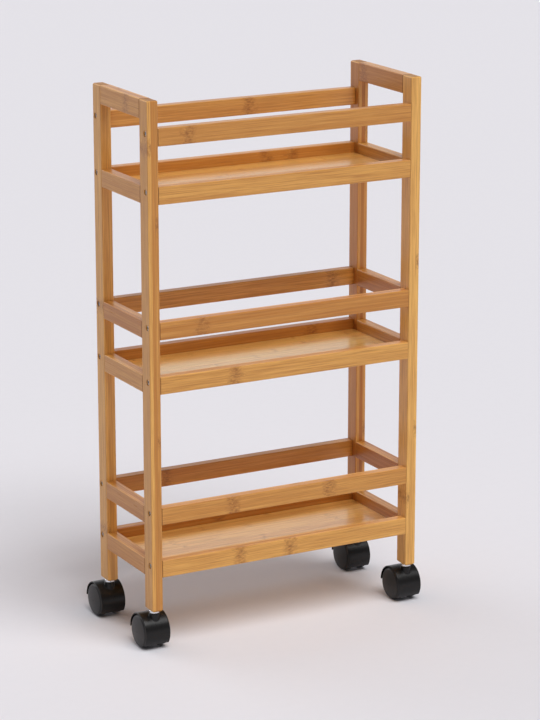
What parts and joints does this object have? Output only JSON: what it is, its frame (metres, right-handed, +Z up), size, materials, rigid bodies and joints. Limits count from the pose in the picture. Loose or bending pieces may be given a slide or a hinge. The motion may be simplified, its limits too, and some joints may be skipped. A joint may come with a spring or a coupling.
{
  "type": "rolling utility cart",
  "caption": "Tall narrow bamboo utility cart with railed open shelf trays between two ladder-like end frames, on twin-wheel swivel casters.",
  "frame": {"origin": "on the floor, at the middle of the box round the whole cart with its casters trailing to the back", "axes": "+Z up, +X to the right along the long rails, +Y to the back; the front faces -Y"},
  "size_m": [0.477, 0.21, 0.82],
  "materials": {
    "bamboo_frame": "clear satin lacquer on laminated bamboo",
    "bamboo_panel": "clear satin lacquer on bamboo board",
    "beech_dowel": "raw beech",
    "zinc_steel": "bright zinc plate",
    "spring_steel": "oiled spring steel",
    "hood_plastic": "semi-gloss moulded black nylon",
    "wheel_plastic": "satin moulded black nylon"
  },
  "bodies": {
    "cart_frame": {"post_front_left": "bamboo_frame", "post_front_right": "bamboo_frame", "post_back_left": "bamboo_frame", "post_back_right": "bamboo_frame", "handle_left": "bamboo_frame", "shelf_rung_bottom_left": "bamboo_frame", "shelf_rung_middle_left": "bamboo_frame", "shelf_rung_top_left": "bamboo_frame", "guard_rung_bottom_left": "bamboo_frame", "guard_rung_middle_left": "bamboo_frame", "handle_right": "bamboo_frame", "shelf_rung_bottom_right": "bamboo_frame", "shelf_rung_middle_right": "bamboo_frame", "shelf_rung_top_right": "bamboo_frame", "guard_rung_bottom_right": "bamboo_frame", "guard_rung_middle_right": "bamboo_frame", "shelf_panel_bottom": "bamboo_panel", "shelf_rail_bottom_front": "bamboo_frame", "guard_rail_bottom_front": "bamboo_frame", "shelf_rail_bottom_back": "bamboo_frame", "guard_rail_bottom_back": "bamboo_frame", "shelf_panel_middle": "bamboo_panel", "shelf_rail_middle_front": "bamboo_frame", "guard_rail_middle_front": "bamboo_frame", "shelf_rail_middle_back": "bamboo_frame", "guard_rail_middle_back": "bamboo_frame", "shelf_panel_top": "bamboo_panel", "shelf_rail_top_front": "bamboo_frame", "guard_rail_top_front": "bamboo_frame", "shelf_rail_top_back": "bamboo_frame", "guard_rail_top_back": "bamboo_frame", "rail_screws": "zinc_steel", "rail_dowels": "beech_dowel", "rung_dowels": "beech_dowel", "caster_inserts": "zinc_steel", "caster_retaining_rings": "spring_steel", "caster_stem_front_left": "zinc_steel", "caster_stem_front_right": "zinc_steel", "caster_stem_back_left": "zinc_steel", "caster_stem_back_right": "zinc_steel"},
    "caster_front_left": {"caster_hood_front_left": "hood_plastic", "caster_axle_front_left": "zinc_steel"},
    "wheel_front_left_left": {"wheel_front_left_left": "wheel_plastic"},
    "wheel_front_left_right": {"wheel_front_left_right": "wheel_plastic"},
    "caster_front_right": {"caster_hood_front_right": "hood_plastic", "caster_axle_front_right": "zinc_steel"},
    "wheel_front_right_left": {"wheel_front_right_left": "wheel_plastic"},
    "wheel_front_right_right": {"wheel_front_right_right": "wheel_plastic"},
    "caster_back_left": {"caster_hood_back_left": "hood_plastic", "caster_axle_back_left": "zinc_steel"},
    "wheel_back_left_left": {"wheel_back_left_left": "wheel_plastic"},
    "wheel_back_left_right": {"wheel_back_left_right": "wheel_plastic"},
    "caster_back_right": {"caster_hood_back_right": "hood_plastic", "caster_axle_back_right": "zinc_steel"},
    "wheel_back_right_left": {"wheel_back_right_left": "wheel_plastic"},
    "wheel_back_right_right": {"wheel_back_right_right": "wheel_plastic"}
  },
  "joints": [
    {"name": "swivel_front_left", "type": "hinge", "parent": "cart_frame", "child": "caster_front_left", "pos_m": [-0.2165, -0.091, 0.045], "axis": [0, 0, 1], "continuous": true},
    {"name": "spin_front_left_left", "type": "hinge", "parent": "caster_front_left", "child": "wheel_front_left_left", "pos_m": [-0.2165, -0.077, 0.025], "axis": [1, 0, 0], "continuous": true},
    {"name": "spin_front_left_right", "type": "hinge", "parent": "caster_front_left", "child": "wheel_front_left_right", "pos_m": [-0.2165, -0.077, 0.025], "axis": [1, 0, 0], "continuous": true},
    {"name": "swivel_front_right", "type": "hinge", "parent": "cart_frame", "child": "caster_front_right", "pos_m": [0.2165, -0.091, 0.045], "axis": [0, 0, 1], "continuous": true},
    {"name": "spin_front_right_left", "type": "hinge", "parent": "caster_front_right", "child": "wheel_front_right_left", "pos_m": [0.2165, -0.077, 0.025], "axis": [1, 0, 0], "continuous": true},
    {"name": "spin_front_right_right", "type": "hinge", "parent": "caster_front_right", "child": "wheel_front_right_right", "pos_m": [0.2165, -0.077, 0.025], "axis": [1, 0, 0], "continuous": true},
    {"name": "swivel_back_left", "type": "hinge", "parent": "cart_frame", "child": "caster_back_left", "pos_m": [-0.2165, 0.063, 0.045], "axis": [0, 0, 1], "continuous": true},
    {"name": "spin_back_left_left", "type": "hinge", "parent": "caster_back_left", "child": "wheel_back_left_left", "pos_m": [-0.2165, 0.077, 0.025], "axis": [1, 0, 0], "continuous": true},
    {"name": "spin_back_left_right", "type": "hinge", "parent": "caster_back_left", "child": "wheel_back_left_right", "pos_m": [-0.2165, 0.077, 0.025], "axis": [1, 0, 0], "continuous": true},
    {"name": "swivel_back_right", "type": "hinge", "parent": "cart_frame", "child": "caster_back_right", "pos_m": [0.2165, 0.063, 0.045], "axis": [0, 0, 1], "continuous": true},
    {"name": "spin_back_right_left", "type": "hinge", "parent": "caster_back_right", "child": "wheel_back_right_left", "pos_m": [0.2165, 0.077, 0.025], "axis": [1, 0, 0], "continuous": true},
    {"name": "spin_back_right_right", "type": "hinge", "parent": "caster_back_right", "child": "wheel_back_right_right", "pos_m": [0.2165, 0.077, 0.025], "axis": [1, 0, 0], "continuous": true}
  ]
}
